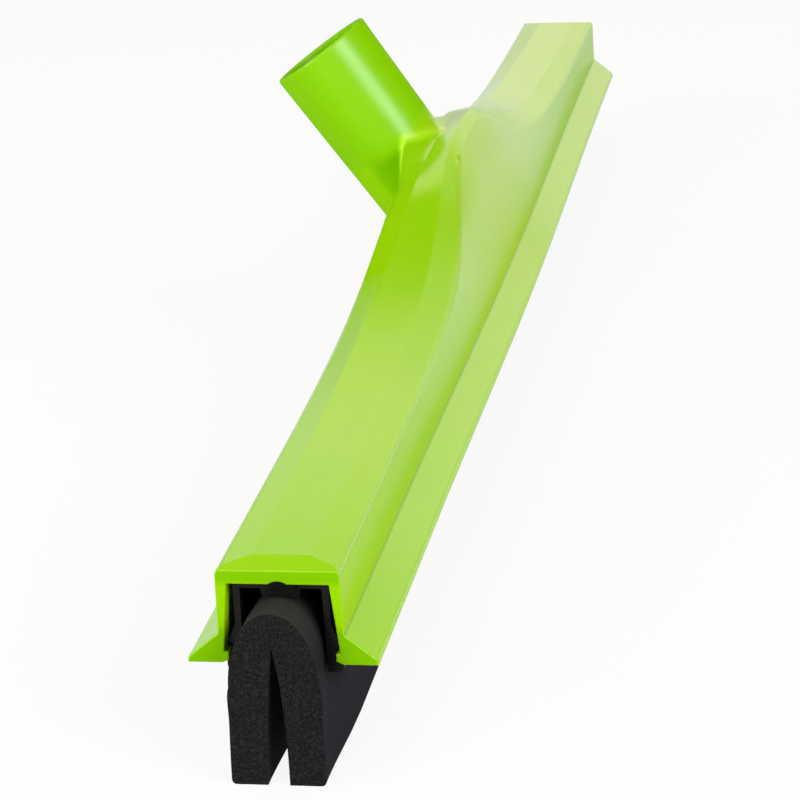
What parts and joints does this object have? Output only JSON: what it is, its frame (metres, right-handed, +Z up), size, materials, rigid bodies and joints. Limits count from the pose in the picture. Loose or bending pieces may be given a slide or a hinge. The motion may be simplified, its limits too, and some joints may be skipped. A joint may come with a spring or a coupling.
{
  "type": "floor squeegee",
  "caption": "Floor squeegee: a moulded plastic frame with sloping skirts and a leaning threaded handle socket, and a slide-in cassette holding a folded cellular-rubber blade.",
  "frame": {"origin": "on the floor, in the middle of the length, halfway between the blade's two edges", "axes": "+X along the length, +Y to the side that the handle leans to, +Z up"},
  "size_m": [0.614, 0.0822, 0.119],
  "materials": {
    "lime_plastic": "glossy lime green",
    "black_plastic": "satin black",
    "cellular_rubber": "matt black, cellular"
  },
  "bodies": {
    "frame": {"frame": "lime_plastic"},
    "cassette": {"cassette": "black_plastic", "blade": "cellular_rubber"}
  },
  "joints": [
    {"name": "cassette_slide", "type": "slide", "parent": "frame", "child": "cassette", "axis": [1, 0, 0], "range_m": [-0.58, 0.58]}
  ]
}
